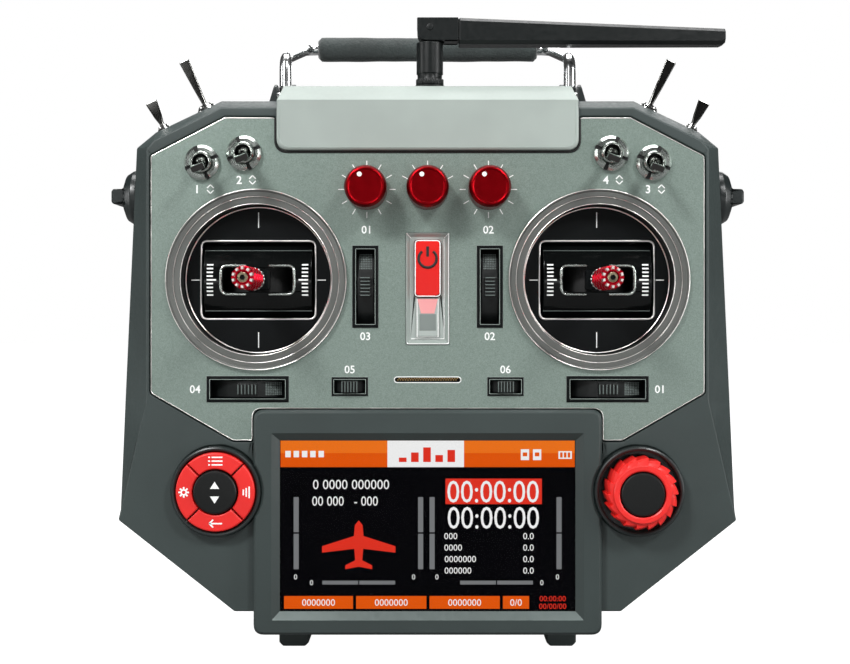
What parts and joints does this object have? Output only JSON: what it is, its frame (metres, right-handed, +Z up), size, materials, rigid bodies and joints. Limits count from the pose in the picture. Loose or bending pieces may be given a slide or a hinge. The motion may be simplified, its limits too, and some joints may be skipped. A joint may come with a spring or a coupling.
{
  "type": "radio transmitter controller",
  "caption": "Handheld radio transmitter with two gimbal sticks, toggles, knobs, trims, a display, a folding handle and a folding antenna.",
  "frame": {"origin": "centre of the whole object seen from above, on the surface that its feet stand on", "axes": "+X to the right as the user sees the face, +Y away from the user towards the back, +Z up"},
  "size_m": [0.207, 0.1004, 0.2084],
  "materials": {
    "dark_shell": "fine moulded texture",
    "soft_rubber": "ribbed",
    "satin_plate": "satin metallic",
    "grey_cover": "satin",
    "dark_bezel": "satin",
    "clear_lens": "clear",
    "display_panel": "lit display",
    "brushed_ring": "brushed",
    "gimbal_black": "satin black",
    "chrome_fittings": "polished",
    "trim_black": "satin black",
    "clear_window": "clear moulded",
    "speaker_black": "matt",
    "collar_black": "semi gloss",
    "antenna_black": "semi gloss",
    "battery_wrap": "shrink wrap",
    "circuit_board": "solder mask",
    "screw_steel": "black zinc",
    "foot_rubber": "matt",
    "chrome_wire": "polished",
    "foam_grip": "foam",
    "red_button": "satin",
    "black_button": "satin",
    "red_key": "satin",
    "red_knob": "anodised",
    "red_anodised": "anodised",
    "stick_black": "satin"
  },
  "bodies": {
    "housing": {"front_housing": "dark_shell", "rear_housing": "dark_shell", "rubber_grips": "soft_rubber", "faceplate": "satin_plate", "top_banner": "grey_cover", "screen_bezel": "dark_bezel", "screen_lens": "clear_lens", "lcd_module": "display_panel", "gimbal_rings": "brushed_ring", "gimbal_frames": "gimbal_black", "toggle_bushings": "chrome_fittings", "trim_frames": "trim_black", "power_window": "clear_window", "speaker": "speaker_black", "nav_collars": "collar_black", "handle_brackets": "chrome_fittings", "antenna_socket": "antenna_black", "battery_pack": "battery_wrap", "main_board": "circuit_board", "module_cover": "dark_shell", "housing_screws": "screw_steel", "feet": "foot_rubber"},
    "left_gimbal_barrel": {"left_gimbal_barrel": "gimbal_black"},
    "left_stick": {"left_stick": "stick_black", "left_stick_end": "red_anodised"},
    "right_gimbal_barrel": {"right_gimbal_barrel": "gimbal_black"},
    "right_stick": {"right_stick": "stick_black", "right_stick_end": "red_anodised"},
    "left_knob": {"left_knob": "red_knob"},
    "mode_selector_knob": {"mode_selector_knob": "red_knob"},
    "right_knob": {"right_knob": "red_knob"},
    "left_inner_toggle": {"left_inner_toggle": "chrome_fittings"},
    "left_outer_toggle": {"left_outer_toggle": "chrome_fittings"},
    "right_inner_toggle": {"right_inner_toggle": "chrome_fittings"},
    "right_outer_toggle": {"right_outer_toggle": "chrome_fittings"},
    "left_long_toggle": {"left_long_toggle": "chrome_fittings"},
    "left_short_toggle": {"left_short_toggle": "chrome_fittings"},
    "left_side_lever": {"left_side_lever": "collar_black"},
    "right_long_toggle": {"right_long_toggle": "chrome_fittings"},
    "right_short_toggle": {"right_short_toggle": "chrome_fittings"},
    "right_side_lever": {"right_side_lever": "collar_black"},
    "left_upright_trim": {"left_upright_trim": "trim_black"},
    "left_level_trim": {"left_level_trim": "trim_black"},
    "left_small_trim": {"left_small_trim": "trim_black"},
    "right_upright_trim": {"right_upright_trim": "trim_black"},
    "right_level_trim": {"right_level_trim": "trim_black"},
    "right_small_trim": {"right_small_trim": "trim_black"},
    "power_button": {"power_button": "red_button"},
    "menu_key_right": {"menu_key_right": "red_key"},
    "menu_key_up": {"menu_key_up": "red_key"},
    "menu_key_left": {"menu_key_left": "red_key"},
    "menu_key_down": {"menu_key_down": "red_key"},
    "page_button": {"page_button": "black_button"},
    "enter_button": {"enter_button": "black_button"},
    "encoder_ring": {"encoder_ring": "red_key"},
    "carry_handle": {"carry_handle": "chrome_wire", "handle_grip": "foam_grip"},
    "antenna_swivel": {"antenna_swivel": "antenna_black"},
    "antenna_blade": {"antenna_blade": "antenna_black"},
    "battery_door": {"battery_door": "dark_shell"}
  },
  "joints": [
    {"name": "antenna_turn", "type": "hinge", "parent": "housing", "child": "antenna_swivel", "pos_m": [0.0007, -0.0042, 0.184], "axis": [0, 0, 1], "range_deg": [-180, 0]},
    {"name": "antenna_elbow", "type": "hinge", "parent": "antenna_swivel", "child": "antenna_blade", "pos_m": [0.0007, -0.0042, 0.2004], "axis": [0, -1, 0], "range_deg": [0, 90]},
    {"name": "carry_handle_fold", "type": "hinge", "parent": "housing", "child": "carry_handle", "pos_m": [0, 0.0048, 0.1796], "axis": [1, 0, 0], "range_deg": [-45, 12]},
    {"name": "battery_door_hinge", "type": "hinge", "parent": "housing", "child": "battery_door", "pos_m": [0, 0.0298, 0.0263], "axis": [-1, 0, 0], "range_deg": [0, 95]},
    {"name": "left_stick_vertical", "type": "hinge", "parent": "housing", "child": "left_gimbal_barrel", "pos_m": [-0.0537, -0.0012, 0.1187], "axis": [1, 0, 0], "range_deg": [-27, 27]},
    {"name": "left_stick_horizontal", "type": "hinge", "parent": "left_gimbal_barrel", "child": "left_stick", "pos_m": [-0.0537, -0.0012, 0.1187], "axis": [0, 0, 1], "range_deg": [-27, 27], "stiffness_Nm_per_rad": 0.05},
    {"name": "right_stick_vertical", "type": "hinge", "parent": "housing", "child": "right_gimbal_barrel", "pos_m": [0.0537, -0.0012, 0.1187], "axis": [1, 0, 0], "range_deg": [-27, 27], "stiffness_Nm_per_rad": 0.05},
    {"name": "right_stick_horizontal", "type": "hinge", "parent": "right_gimbal_barrel", "child": "right_stick", "pos_m": [0.0537, -0.0012, 0.1187], "axis": [0, 0, 1], "range_deg": [-27, 27], "stiffness_Nm_per_rad": 0.05},
    {"name": "encoder_ring_turn", "type": "hinge", "parent": "housing", "child": "encoder_ring", "pos_m": [0.066, -0.0192, 0.0526], "axis": [0, 1, 0], "continuous": true},
    {"name": "left_side_lever_turn", "type": "hinge", "parent": "housing", "child": "left_side_lever", "pos_m": [-0.098, 0.0048, 0.1463], "axis": [1, 0, 0], "range_deg": [-35, 35]},
    {"name": "right_side_lever_turn", "type": "hinge", "parent": "housing", "child": "right_side_lever", "pos_m": [0.098, 0.0048, 0.1463], "axis": [1, 0, 0], "range_deg": [-35, 35]},
    {"name": "left_inner_toggle_throw", "type": "hinge", "parent": "housing", "child": "left_inner_toggle", "pos_m": [-0.0575, -0.0207, 0.1582], "axis": [-0.9272, 0, -0.3746], "range_deg": [0, 28]},
    {"name": "left_outer_toggle_throw", "type": "hinge", "parent": "housing", "child": "left_outer_toggle", "pos_m": [-0.0707, -0.0207, 0.1553], "axis": [-0.9272, 0, -0.3746], "range_deg": [0, 28]},
    {"name": "right_inner_toggle_throw", "type": "hinge", "parent": "housing", "child": "right_inner_toggle", "pos_m": [0.0575, -0.0207, 0.1582], "axis": [-0.9272, 0, 0.3746], "range_deg": [0, 28]},
    {"name": "right_outer_toggle_throw", "type": "hinge", "parent": "housing", "child": "right_outer_toggle", "pos_m": [0.0707, -0.0207, 0.1553], "axis": [-0.9272, 0, 0.3746], "range_deg": [0, 28]},
    {"name": "left_long_toggle_throw", "type": "hinge", "parent": "housing", "child": "left_long_toggle", "pos_m": [-0.0712, -0.0052, 0.17362], "axis": [0.9029, 0, 0.4299], "range_deg": [-13, 13]},
    {"name": "left_short_toggle_throw", "type": "hinge", "parent": "housing", "child": "left_short_toggle", "pos_m": [-0.085, -0.0052, 0.16705], "axis": [0.9029, 0, 0.4299], "range_deg": [-13, 13]},
    {"name": "right_long_toggle_throw", "type": "hinge", "parent": "housing", "child": "right_long_toggle", "pos_m": [0.0712, -0.0052, 0.17362], "axis": [0.9029, 0, -0.4299], "range_deg": [-13, 13]},
    {"name": "right_short_toggle_throw", "type": "hinge", "parent": "housing", "child": "right_short_toggle", "pos_m": [0.085, -0.0052, 0.16705], "axis": [0.9029, 0, -0.4299], "range_deg": [-13, 13]},
    {"name": "left_upright_trim_rock", "type": "hinge", "parent": "housing", "child": "left_upright_trim", "pos_m": [-0.0195, 0.001, 0.1165], "axis": [1, 0, 0], "range_deg": [-6, 6], "stiffness_Nm_per_rad": 0.02},
    {"name": "left_level_trim_rock", "type": "hinge", "parent": "housing", "child": "left_level_trim", "pos_m": [-0.0564, 0.001, 0.0844], "axis": [0, 0, 1], "range_deg": [-6, 6], "stiffness_Nm_per_rad": 0.02},
    {"name": "left_small_trim_rock", "type": "hinge", "parent": "housing", "child": "left_small_trim", "pos_m": [-0.0244, -0.009, 0.0852], "axis": [0, 0, 1], "range_deg": [-6, 6], "stiffness_Nm_per_rad": 0.02},
    {"name": "right_upright_trim_rock", "type": "hinge", "parent": "housing", "child": "right_upright_trim", "pos_m": [0.0195, 0.001, 0.1165], "axis": [1, 0, 0], "range_deg": [-6, 6], "stiffness_Nm_per_rad": 0.02},
    {"name": "right_level_trim_rock", "type": "hinge", "parent": "housing", "child": "right_level_trim", "pos_m": [0.0564, 0.001, 0.0844], "axis": [0, 0, 1], "range_deg": [-6, 6], "stiffness_Nm_per_rad": 0.02},
    {"name": "right_small_trim_rock", "type": "hinge", "parent": "housing", "child": "right_small_trim", "pos_m": [0.0244, -0.009, 0.0852], "axis": [0, 0, 1], "range_deg": [-6, 6], "stiffness_Nm_per_rad": 0.02},
    {"name": "left_knob_turn", "type": "hinge", "parent": "housing", "child": "left_knob", "pos_m": [-0.01906, -0.0192, 0.147], "axis": [0, 1, 0], "range_deg": [-124, 176]},
    {"name": "mode_selector_knob_turn", "type": "hinge", "parent": "housing", "child": "mode_selector_knob", "pos_m": [0, -0.0192, 0.147], "axis": [0, 1, 0], "range_deg": [-49, 101]},
    {"name": "right_knob_turn", "type": "hinge", "parent": "housing", "child": "right_knob", "pos_m": [0.01906, -0.0192, 0.147], "axis": [0, 1, 0], "range_deg": [-124, 176]},
    {"name": "power_button_press", "type": "slide", "parent": "housing", "child": "power_button", "axis": [0, 1, 0], "range_m": [0, 0.0008], "stiffness_N_per_m": 600},
    {"name": "menu_key_right_press", "type": "slide", "parent": "housing", "child": "menu_key_right", "axis": [0, 1, 0], "range_m": [0, 0.0008], "stiffness_N_per_m": 600},
    {"name": "menu_key_up_press", "type": "slide", "parent": "housing", "child": "menu_key_up", "axis": [0, 1, 0], "range_m": [0, 0.0008], "stiffness_N_per_m": 600},
    {"name": "menu_key_left_press", "type": "slide", "parent": "housing", "child": "menu_key_left", "axis": [0, 1, 0], "range_m": [0, 0.0008], "stiffness_N_per_m": 600},
    {"name": "menu_key_down_press", "type": "slide", "parent": "housing", "child": "menu_key_down", "axis": [0, 1, 0], "range_m": [0, 0.0008], "stiffness_N_per_m": 600},
    {"name": "page_button_press", "type": "slide", "parent": "housing", "child": "page_button", "axis": [0, 1, 0], "range_m": [0, 0.0008], "stiffness_N_per_m": 600},
    {"name": "enter_button_press", "type": "slide", "parent": "housing", "child": "enter_button", "axis": [0, 1, 0], "range_m": [0, 0.0008], "stiffness_N_per_m": 600}
  ]
}
